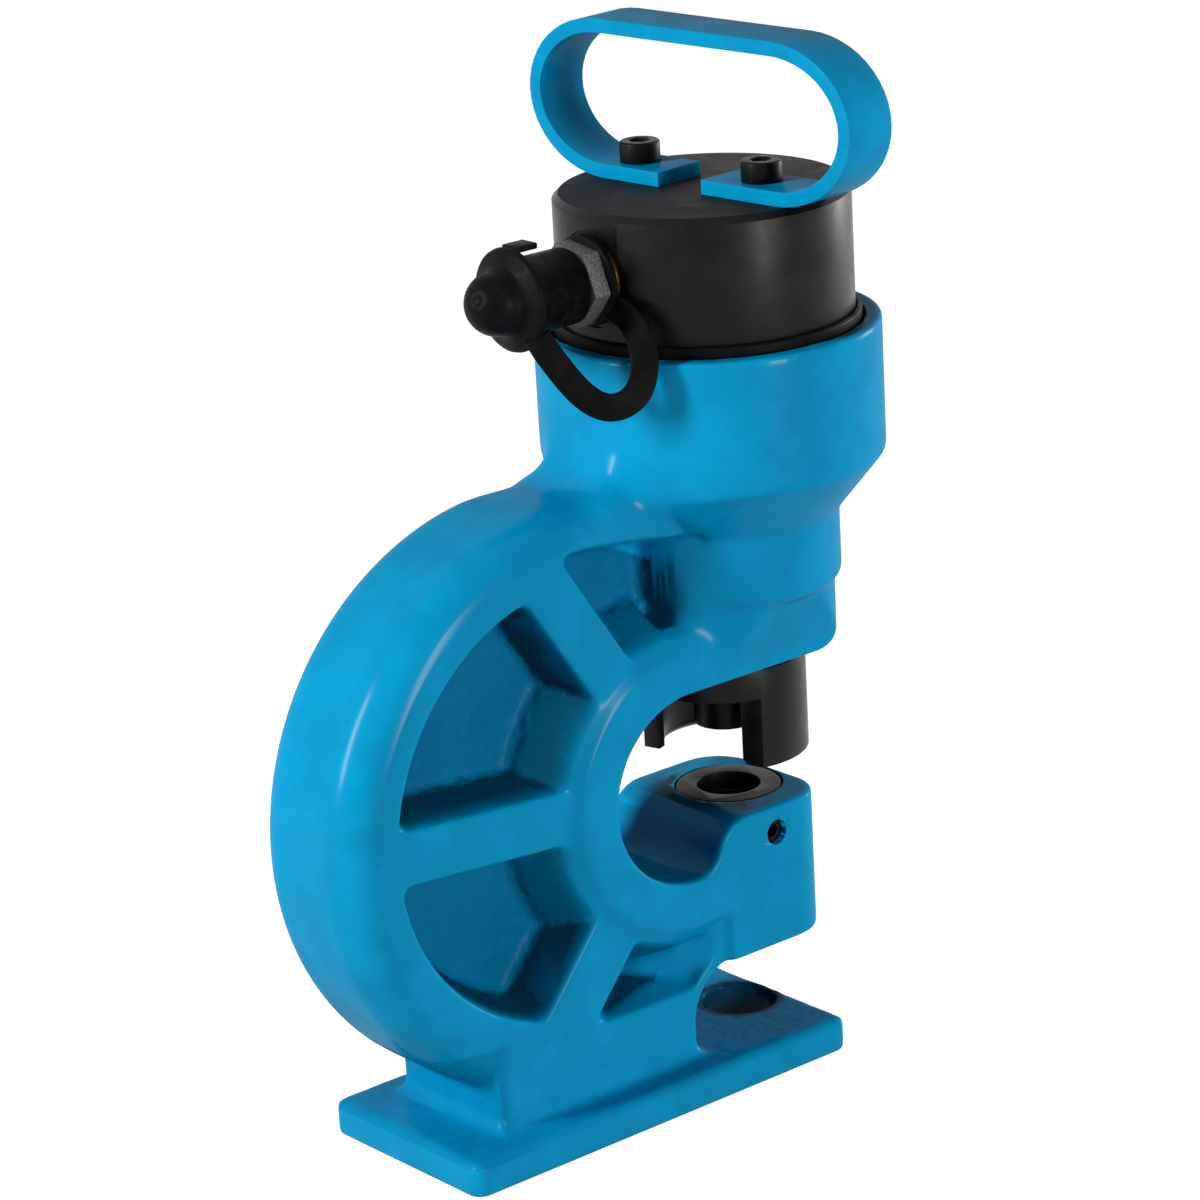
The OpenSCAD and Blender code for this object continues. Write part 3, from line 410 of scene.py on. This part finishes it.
def relax(piece, rounds, places_mm=()):
    """Rounds the edges of a dense mesh, all over or within a radius of each given place."""
    settings = {"factor": 0.5, "iterations": rounds}
    if places_mm:
        points = points_of(piece.data) / MM
        share = np.zeros(len(points))
        for centre, radius in places_mm:
            far = np.linalg.norm(points - np.array(centre), axis=1) / radius
            share = np.maximum(share, np.clip(2 * (1 - far), 0, 1))
        group = piece.vertex_groups.new(name="places")
        for tenth in range(1, 11):
            chosen = np.nonzero(np.ceil(share * 10) == tenth)[0]
            group.add(chosen.tolist(), tenth / 10, "REPLACE")
        settings["vertex_group"] = group.name
    add_modifier(piece, "SMOOTH", **settings)
    apply_modifiers(piece)
    piece.vertex_groups.clear()


print("mesh helpers ready")


# %% Hand a piece to the frame
body_of = {node: body for body, nodes in frame["record"]["behaviour"]["bodies"].items()
           for node in nodes}


def settle(piece, *nodes, ride=True):
    """The piece stands for these CAD nodes and moves with their body."""
    if ride:
        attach(piece, body_of[nodes[0]])
    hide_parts(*nodes)


print("bodies:", sorted(set(body_of.values())))


# %% [markdown]
# ## The casting
# Sand leaves no sharp corner: every inner corner has a fillet, because iron cracks at a sharp
# one, and every outer edge is worn round. The CAD solid has hard corners. The mesh is swollen by
# the fillet's radius, remeshed, and shrunk back by as much. That fills the inner corners with
# arcs and leaves the faces where they were. A little smoothing rounds the outer edges, and much
# more of it melts the spine into the collar, where the pattern maker left a wide soft blend.
#
# The pockets' walls lean, so that the pattern comes out of the sand. The wall on the side of the
# hub leans far more than the others, and a ring of that slope is added before the remesh.
#
# The bores are another matter, since a lathe cuts them after the casting is poured. They are
# plugged first, and cut again at the end with crisp edges.

# %% The bores, as plugs
# Axis, centre in the two other directions in X, Y, Z order, start, end, radius, and how far the
# cutter runs out past the start and the end
BORES_MM = [
    ("Z", (0, 0), 195, 240, 49, 0, 12),
    ("Z", (0, 0), 160, 200, 28, 0, 0),
    ("Z", (0, 0), 132.1, 165, 24.6, 10, 0),
    ("Z", (0, 0), 60, 86.4, 18.2, 0, 12),
    ("Z", (0, 0), 39.3, 65, 12.6, 8, 0),
    ("Z", (0, 0), 0, 11.5, 14, 5, 8),
    ("Y", (-3.9, 77.5), -26.5, -16, 5.5, 14, 0),
    ("X", (0, 137.6), 22, 36.2, 4.5, 0, 14),
]
AXIS_TURN = {
    "X": Matrix.Rotation(math.radians(90), 4, "Y"),
    "Y": Matrix.Rotation(math.radians(90), 4, "X"),
    "Z": Matrix.Identity(4),
}


def add_plug(bm, axis, centre, start, end, radius):
    middle = list(centre)
    middle.insert("XYZ".index(axis), (start + end) / 2)
    bmesh.ops.create_cone(
        bm, cap_ends=True, segments=96, radius1=radius * MM, radius2=radius * MM,
        depth=(end - start) * MM,
        matrix=Matrix.Translation(Vector(middle) * MM) @ AXIS_TURN[axis])


def cut_away(piece, tool):
    """Cuts the volume of the tool out of the piece, and removes the tool."""
    add_modifier(piece, "BOOLEAN", operation="DIFFERENCE", solver="MANIFOLD", object=tool)
    apply_modifiers(piece)
    bpy.data.objects.remove(tool)


print("bores:", len(BORES_MM))


# %% Pour the casting
CAST_VOXEL_MM = 0.85
CAST_FILLET_MM = 1.7
# The throat's centre in X and Z, and the hub's slope round it: radius and Y of its section, the
# angle where it starts, its step in degrees and the count of its sections
THROAT_MM = (-37, 101.5)
SLOPE_SECTION_MM = [(47, -23.6), (50.6, -23.6), (61.5, -5), (61.5, 5), (50.6, 23.6), (47, 23.6)]
SLOPE_START, SLOPE_STEP, SLOPE_COUNT = 96, 5, 35
# Rounds of smoothing all over and in the soft places, and the centre and radius of each place
EVEN_ROUNDS, SOFT_ROUNDS = 5, 260
SOFT_PLACES_MM = [((-59, -22, 207), 30), ((-59, 22, 207), 30),
                  ((-29, -24, 148.5), 15), ((-29, 24, 148.5), 15)]


def close_corners(piece, radius_mm, voxel_mm):
    """Swells a closed mesh, remeshes it, and shrinks it back."""
    for way in (1, -1):
        mesh = piece.data
        set_points(mesh, points_of(mesh) + normals_of(mesh) * (way * radius_mm * MM))
        voxel_remesh(piece, voxel_mm)


def hub_slope():
    """A closed ring of the leaning wall round the hub, as a mesh."""
    bm = bmesh.new()
    rings = []
    for step in range(SLOPE_COUNT):
        a = math.radians(SLOPE_START + SLOPE_STEP * step)
        out = Vector((math.cos(a), 0, math.sin(a)))
        rings.append([bm.verts.new((Vector((THROAT_MM[0], y, THROAT_MM[1])) + out * radius) * MM)
                      for radius, y in SLOPE_SECTION_MM])
    corners = len(SLOPE_SECTION_MM)
    for first, second in zip(rings, rings[1:]):
        for i in range(corners):
            k = (i + 1) % corners
            bm.faces.new((first[i], first[k], second[k], second[i]))
    bm.faces.new(rings[0])
    bm.faces.new(reversed(rings[-1]))
    bmesh.ops.recalc_face_normals(bm, faces=bm.faces)
    mesh = bpy.data.meshes.new("slope")
    bm.to_mesh(mesh)
    bm.free()
    return mesh


solid = merged_copy("frame", dissolve=False)
for axis, centre, start, end, radius, *_ in BORES_MM:
    add_plug(solid, axis, centre, start, end, radius)
slope = hub_slope()
solid.from_mesh(slope)
bpy.data.meshes.remove(slope)
casting = new_piece("casting", solid, finish["cast_paint"])
voxel_remesh(casting, CAST_VOXEL_MM)
close_corners(casting, CAST_FILLET_MM, CAST_VOXEL_MM)
relax(casting, EVEN_ROUNDS)
relax(casting, SOFT_ROUNDS, SOFT_PLACES_MM)
print("casting:", len(casting.data.polygons), "faces")


# %% Where the grain and the painted shade are
# The open faces were dressed and filled before painting. The grain stays on the pockets' floors,
# on the top of the base and on the back of the pedestal, where the blue is also darkened as
# painted shade. The steep walls of the pockets and the throat, and the slug hole, get a darker
# painted shade. The numbers in both functions are places on the casting in mm: where a zone ends,
# and over what length it fades.
WEB_MM = (-77, 107.5)


def from_centre(x, z, centre):
    return np.hypot(x - centre[0], z - centre[1])


def grain_and_shade_share(points):
    """0 on the dressed faces and 1 where the sand's grain shows, where the blue is also darkened
    as painted shade.
    """
    x, y, z = (points / MM).T
    inside = np.clip((10.5 - np.abs(y)) / 3, 0, 1) * (z > 16) * (z < 232)
    inside *= np.clip(77 - from_centre(x, z, WEB_MM), 0, 1)
    behind = 0.45 * np.clip((-113 - x) / 4, 0, 1) * (z < 40) * (z > 9)
    floor = 0.45 * np.clip((13.5 - z) / 1.5, 0, 1) * np.clip((z - 9) / 2, 0, 1)
    throat = (from_centre(x, z, THROAT_MM) < 33) | (x > -38) & (z > 84) & (z < 134)
    return np.maximum(np.maximum(inside * ~throat, behind), floor).astype(np.float32)


def painted_shade_share(points, normals):
    """1 on the steep walls of the pockets, the throat and the slug hole, where painted shade
    darkens the colour.
    """
    x, y, z = (points / MM).T
    wall = np.clip(2.2 - 3.2 * np.abs(normals[:, 1]), 0, 1)
    near = from_centre(x, z, THROAT_MM)
    pocket = (from_centre(x, z, WEB_MM) < 76.5) & (z > 16) & (near > 51.5)
    pocket = pocket * np.clip((23.5 - np.abs(y)) / 5, 0, 1)
    throat = (near < 33.5) * np.clip((z - 40) / 8, 0, 1) * np.clip((24 - np.abs(y)) / 3, 0, 1)
    slug_hole = (np.hypot(x, y) < 14.6) * (z < 13)
    return np.maximum(wall * np.maximum(pocket, throat), slug_hole).astype(np.float32)


print("zones of the casting ready")


# %% The grain that the sand left
GRAIN_HEIGHT_MM, GRAIN_MM = 0.28, 3.1


def roughen(piece, height_mm, grain_mm):
    """Moves the points in and out along their normals, by a fixed noise."""
    mesh = piece.data
    points, normals = points_of(mesh), normals_of(mesh)
    share = grain_and_shade_share(points)
    lift = np.zeros(len(points), dtype=np.float32)
    for i in np.nonzero(share > 0)[0]:
        lift[i] = noise_at(Vector(points[i].tolist()) / (grain_mm * MM))
    set_points(mesh, points + normals * (lift * share * height_mm * MM)[:, None])


roughen(casting, GRAIN_HEIGHT_MM, GRAIN_MM)
print("grain laid on", len(casting.data.vertices), "points")


# %% Bore the casting
CAST_TRIANGLES = 165000


def add_share(piece, name, values):
    """Keeps a number per point with the mesh, for its finish to read."""
    piece.data.attributes.new(name, "FLOAT", "POINT").data.foreach_set("value", values)


add_modifier(casting, "DECIMATE", ratio=min(1, CAST_TRIANGLES / (2 * len(casting.data.polygons))))
apply_modifiers(casting)
for axis, centre, start, end, radius, before, after in BORES_MM:
    plug = bmesh.new()
    add_plug(plug, axis, centre, start - before, end + after, radius)
    drill = new_piece("drill", plug, finish["cast_paint"])
    cad_copy = new_piece("cad_copy", merged_copy("frame", dissolve=False), finish["cast_paint"])
    cut_away(drill, cad_copy)
    cut_away(casting, drill)
casting.data.set_sharp_from_angle(angle=math.radians(40))
add_modifier(casting, "WEIGHTED_NORMAL", keep_sharp=True, weight=60)
apply_modifiers(casting)
# Where the grain shows; the finish darkens the blue there too, as painted shade
add_share(casting, "grain_and_shade", grain_and_shade_share(points_of(casting.data)))
# Where painted shade darkens the deep walls and the slug hole
add_share(casting, "painted_shade", painted_shade_share(points_of(casting.data), normals_of(casting.data)))
settle(casting, "frame")
print("bored casting:", len(casting.data.polygons), "faces")


# %% [markdown]
# ## The turned and moulded pieces
# Each one takes its shape from its CAD node. A small bevel breaks the edges: a file does that to
# steel, and a mould does it to rubber.

# %% Break the edges
# Node, finish, and the width of its broken edges in mm
PIECES = [
    ("cylinder_body", "black_oxide", 0.5),
    ("dust_ring", "rubber", 0.4),
    ("handle", "bar_paint", 1.3),
    ("handle_screws", "black_screw", 0.5),
    ("stripper", "black_oxide", 0.4),
    ("stripper_screw", "black_screw", 0.2),
    ("die", "tool_steel", 0.25),
    ("die_set_screw", "black_screw", 0.25),
    ("punch", "tool_steel", 0.15),
    ("punch_nut", "black_oxide", 0.4),
    ("coupler_body", "phosphate", 0.35),
    ("coupler_washer", "bronze", 0.2),
]


def broken_edges(node, material, width_mm):
    piece = new_piece(node + "_piece", merged_copy(node), finish[material])
    add_modifier(piece, "BEVEL", width=width_mm * MM, segments=3, limit_method="ANGLE",
                 angle_limit=math.radians(35), use_clamp_overlap=True)
    apply_modifiers(piece)
    piece.data.set_sharp_from_angle(angle=math.radians(33))
    return piece


# The stripper is clamped as it was screwed in, so its two legs stand a little askew
STRIPPER_TURN = 15.7

for node, material, width_mm in PIECES:
    piece = broken_edges(node, material, width_mm)
    if node == "stripper":
        piece.data.transform(Matrix.Rotation(math.radians(STRIPPER_TURN), 4, "Z"))
    settle(piece, node)
    print(node, len(piece.data.polygons))


# %% The pieces inside keep their CAD mesh
INSIDE = {
    "piston": "ground_steel", "piston_rod": "chrome_rod", "piston_screw": "black_screw",
    "piston_seal": "rubber", "piston_wear_ring": "bronze", "return_spring": "spring_steel",
    "guide_bush": "bronze", "rod_wiper": "rubber", "coupler_poppet": "ground_steel",
    "coupler_spring": "spring_steel", "coupler_retainer": "spring_steel",
}
for node, material in INSIDE.items():
    mesh = frame["nodes"][node].data
    mesh.materials.clear()
    mesh.materials.append(finish[material])
print("inside:", len(INSIDE))

# %% The springs get meshes of their own
# Node, joint, axis, fixed end, and the share of its length that is left at the joint's limit
SPRINGS = [
    ("return_spring", "ram_stroke", (0, 0, 1), (0, 0, 175 * MM), 0.588),
    ("coupler_spring", "poppet_press", (1, 0, 0), (-54 * MM, 0, 261.5 * MM), 0.741),
]
for node, joint, axis, fixed_end, left in SPRINGS:
    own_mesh(frame["nodes"][node])
print("springs:", len(SPRINGS))


# %% [markdown]
# ## The dust cap and its strap
# Both are moulded rubber. The cap is a skirt, a thin flange and a dome, turned from one profile,
# with a pull tab behind the flange. The strap is a flat band that follows a path, so Geometry
# Nodes sweeps it: a small node group takes the path's curve and the band's width and thickness.

# %% The dust cap
COUPLER_Z_MM = 261.5
# Distance along the coupler's axis and radius, round the wall of the cap from pole to pole
CAP_WALL_MM = [
    (76.4, 0), (76.4, 9.8), (55.5, 9.8), (55.5, 11.3), (56, 11.8), (74.8, 11.9), (75.6, 12.3),
    (75.9, 13), (76, 15.2), (76.3, 15.8), (77, 16), (77.8, 15.8), (78.3, 15.2), (79.2, 13),
    (80, 11.2), (80.9, 10.2),
]
CAP_DOME_MM = (82.4, 9.9)
# Two corners of the pull tab, and the centre of the gate's mark, all from the coupler's axis
CAP_TAB_MM = ((-76.5, -3.6, 14.5), (-68.4, 3.6, 16.4))
GATE_MARK_MM = (-91.6, -2, 3.1)


def lathe(bm, wall, steps=96):
    """Turns (distance, radius) points in mm about the coupler's axis, from pole to pole."""
    rings = []
    for far, radius in wall:
        turns = [2 * math.pi * i / steps for i in range(steps if radius else 1)]
        places = [Vector((-far, radius * math.cos(a), COUPLER_Z_MM + radius * math.sin(a)))
                  for a in turns]
        rings.append([bm.verts.new(place * MM) for place in places])
    for first, second in zip(rings, rings[1:]):
        for i in range(steps):
            k = (i + 1) % steps
            corners = [first[i % len(first)], first[k % len(first)],
                       second[k % len(second)], second[i % len(second)]]
            bm.faces.new(list(dict.fromkeys(corners)))
    bmesh.ops.recalc_face_normals(bm, faces=bm.faces)


def add_block(bm, low, high, round_mm):
    """A block between two corners in mm, with rounded edges."""
    middle = (Vector(low) + Vector(high)) / 2
    size = Vector(high) - Vector(low)
    made = bmesh.ops.create_cube(
        bm, size=1, matrix=Matrix.Translation(middle * MM) @ Matrix.Diagonal((*size * MM, 1)))
    edges = list({edge for vert in made["verts"] for edge in vert.link_edges})
    bmesh.ops.bevel(bm, geom=edges, offset=round_mm * MM, segments=3, profile=0.5,
                    affect="EDGES")


def press_in(piece, centre, radius_mm, depth_mm):
    """A small round dimple."""
    points = points_of(piece.data)
    normals = normals_of(piece.data)
    away = np.linalg.norm(points - np.array(centre), axis=1) / (radius_mm * MM)
    share = np.clip(1 - away ** 2, 0, 1) ** 1.5
    set_points(piece.data, points - normals * (share * depth_mm * MM)[:, None])


dome_far, dome_r = CAP_DOME_MM
dome = [(dome_far + dome_r * math.sin(math.radians(a)), dome_r * math.cos(math.radians(a)))
        for a in range(0, 90, 5)]
bm = bmesh.new()
lathe(bm, CAP_WALL_MM + dome + [(dome_far + dome_r, 0)])
tab_low, tab_high = (Vector(corner) + Vector((0, 0, COUPLER_Z_MM)) for corner in CAP_TAB_MM)
add_block(bm, tab_low, tab_high, 0.5)
cap = new_piece("dust_cap_piece", bm, finish["rubber"])
mark_x, mark_y, mark_z = GATE_MARK_MM
press_in(cap, (mark_x * MM, mark_y * MM, (COUPLER_Z_MM + mark_z) * MM), 2.6, 0.9)
cap.data.set_sharp_from_angle(angle=math.radians(50))
settle(cap, "dust_cap")
print("cap:", len(cap.data.polygons))


# %% The strap, swept by Geometry Nodes
STRAP_PATH_MM = [
    (-47.6, -9.5, 255.5), (-46.8, -15.5, 253.7), (-48.5, -23.5, 250.8), (-49.7, -28.0, 245.0),
    (-52.1, -30.5, 237.7), (-55.9, -30.0, 231.3), (-63.2, -26.5, 228.6), (-69.0, -21.5, 233.4),
    (-72.9, -16.5, 241.6), (-75.8, -12.5, 248.6), (-76.8, -11.2, 252.2),
]
STRAP_WIDTH_MM, STRAP_THICK_MM = 8.4, 2.4
# The way that the band's flat side faces, all along it
STRAP_FACES = (-0.636, -0.771, 0)
# Distance along the coupler's axis and radius, round the ring that is clamped under the hexagon
STRAP_RING_MM = [(46.6, 0), (46.6, 13.5), (47, 14), (48.6, 14), (49, 13.5), (49, 0)]


def band_sweep():
    """Sweeps a rounded band along a curve. Inputs: the curve, Width, Thickness, Facing, Finish."""
    group = bpy.data.node_groups.new("band sweep", "GeometryNodeTree")
    sides = group.interface.new_socket
    sides("Curve", in_out="INPUT", socket_type="NodeSocketGeometry")
    sides("Width", in_out="INPUT", socket_type="NodeSocketFloat")
    sides("Thickness", in_out="INPUT", socket_type="NodeSocketFloat")
    sides("Facing", in_out="INPUT", socket_type="NodeSocketVector")
    sides("Finish", in_out="INPUT", socket_type="NodeSocketMaterial")
    sides("Band", in_out="OUTPUT", socket_type="NodeSocketGeometry")
    given = group.nodes.new("NodeGroupInput").outputs
    resample = add_node(group, "GeometryNodeResampleCurve", {
        "Curve": given["Curve"], "Count": 72})
    turn = add_node(group, "GeometryNodeSetCurveNormal", {
        "Curve": resample.outputs[0], "Normal": given["Facing"]}, mode="FREE")
    section = add_node(group, "GeometryNodeCurvePrimitiveQuadrilateral", {
        "Width": given["Thickness"], "Height": given["Width"]})
    soft = add_node(group, "GeometryNodeFilletCurve", {
        "Curve": section.outputs[0], "Radius": 0.8 * MM, "Limit Radius": True, "Count": 4},
        mode="POLY")
    sweep = add_node(group, "GeometryNodeCurveToMesh", {
        "Curve": turn.outputs[0], "Profile Curve": soft.outputs[0], "Fill Caps": True})
    coat = add_node(group, "GeometryNodeSetMaterial", {
        "Geometry": sweep.outputs[0], "Material": given["Finish"]})
    add_node(group, "NodeGroupOutput", {"Band": coat.outputs[0]})
    return group


def swept_band(name, path_mm, width_mm, thickness_mm, facing, material):
    """A plain mesh of a band along a smooth path."""
    line = bpy.data.curves.new(name, "CURVE")
    line.dimensions = "3D"
    spline = line.splines.new("NURBS")
    spline.points.add(len(path_mm) - 1)
    for point, place in zip(spline.points, path_mm):
        point.co = (*(Vector(place) * MM), 1)
    spline.order_u = 4
    spline.use_endpoint_u = True
    line.resolution_u = 12
    guide = bpy.data.objects.new(name, line)
    bpy.context.scene.collection.objects.link(guide)
    band = guide.modifiers.new("band sweep", "NODES")
    band.node_group = band_sweep()
    values = {"Width": width_mm * MM, "Thickness": thickness_mm * MM, "Facing": facing,
              "Finish": material}
    for item in band.node_group.interface.items_tree:
        if item.name in values:
            band[item.identifier] = values[item.name]
    graph = bpy.context.evaluated_depsgraph_get()
    mesh = bpy.data.meshes.new_from_object(guide.evaluated_get(graph))
    bpy.data.objects.remove(guide)
    return mesh


band = swept_band("strap", STRAP_PATH_MM, STRAP_WIDTH_MM, STRAP_THICK_MM, STRAP_FACES,
                  finish["rubber"])
bm = bmesh.new()
bm.from_mesh(band)
lathe(bm, STRAP_RING_MM)
strap = new_piece("cap_strap_piece", bm, finish["rubber"])
strap.data.set_sharp_from_angle(angle=math.radians(40))
settle(strap, "cap_strap", ride=False)
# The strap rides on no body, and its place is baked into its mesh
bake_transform(strap)
print("strap:", len(strap.data.polygons), [round(v, 4) for v in strap.dimensions])


# %% [markdown]
# ## Floor and light
# The machine stands on plain white paper. One softbox stands on the left, on the side of the
# spine, one on the right, square to the machine's side, and a weaker one in front of the throat.
# The sky only fills in a little, so the pockets and the throat stay dark.

# %% The floor
# The paper's own colour is grey, so that it throws little light up into the throat. Rays that see
# it get the rest of its white as glow.
PAPER_GREY, PAPER_GLOW = 0.3, 0.96
FLOOR_SIDE_M, FLOOR_DROP_M = 40, 0.0002


def seen_share(tree):
    """1 for the rays that see the backdrop straight, in a mirror or through glass."""
    rays = add_node(tree, "ShaderNodeLightPath").outputs
    seen = calculate(tree, "MAXIMUM", rays["Is Camera Ray"], rays["Is Glossy Ray"])
    return calculate(tree, "MAXIMUM", seen, rays["Is Transmission Ray"])


def white_floor():
    """White paper, flat and matt. What sees it gets most of its white whatever the lamps do, so
    the shadow on it stays faint."""
    material, tree, shader = new_material("white paper")
    set_sockets(shader, {"Base Color": (PAPER_GREY, PAPER_GREY, PAPER_GREY, 1),
                         "Roughness": 0.9, "Specular IOR Level": 0})
    strength = calculate(tree, "MULTIPLY", seen_share(tree), PAPER_GLOW)
    glow = add_node(tree, "ShaderNodeEmission", {"Color": (1, 1, 1, 1), "Strength": strength})
    both = add_node(tree, "ShaderNodeAddShader", {0: shader.outputs[0], 1: glow.outputs[0]})
    output = next(node for node in tree.nodes if node.type == "OUTPUT_MATERIAL")
    tree.links.new(both.outputs[0], output.inputs["Surface"])
    return material


bpy.ops.mesh.primitive_plane_add(size=FLOOR_SIDE_M, location=(0, 0, -FLOOR_DROP_M))
floor = bpy.context.object
floor.name = "floor"
floor.data.materials.append(white_floor())
print("floor:", floor.name)


# %% The lamps and the sky
# The middle of the machine, in metres, and the lamps round it: name, direction, distance, width
# and height in metres, and level
AIM = Vector((-0.05, 0, 0.16))
LAMPS = [
    ("left softbox", (-0.92, 0.22, 0.38), 1.6, 0.24, 0.8, 1.0),
    ("right softbox", (0.1, -1, 0.06), 1.6, 0.22, 0.9, 0.74),
    ("front softbox", (1, -0.1, 0.05), 1.8, 0.5, 0.5, 0.42),
]
SKY_FILL = 0.03


def softbox(name, direction, distance, width, height, level):
    """A lamp that gives a face turned to it this share of full light."""
    data = bpy.data.lights.new(name, "AREA")
    data.shape, data.size, data.size_y = "RECTANGLE", width, height
    data.energy = level * math.pi ** 2 * distance ** 2
    lamp = bpy.data.objects.new(name, data)
    way = Vector(direction).normalized()
    lamp.location = AIM + way * distance
    lamp.rotation_euler = way.to_track_quat("Z", "Y").to_euler()
    bpy.context.scene.collection.objects.link(lamp)


for lamp in LAMPS:
    softbox(*lamp)

world = bpy.data.worlds.new("sky")
bpy.context.scene.world = world
world.use_nodes = True
sky = world.node_tree
sky.nodes.clear()
strength = add_node(sky, "ShaderNodeMapRange", {
    "Value": seen_share(sky), "To Min": SKY_FILL, "To Max": 1.0}).outputs[0]
background = add_node(sky, "ShaderNodeBackground", {"Color": (1, 1, 1, 1), "Strength": strength})
add_node(sky, "ShaderNodeOutputWorld", {"Surface": background.outputs[0]})
bpy.context.scene.view_settings.view_transform = "Standard"
print("lamps:", len(LAMPS))
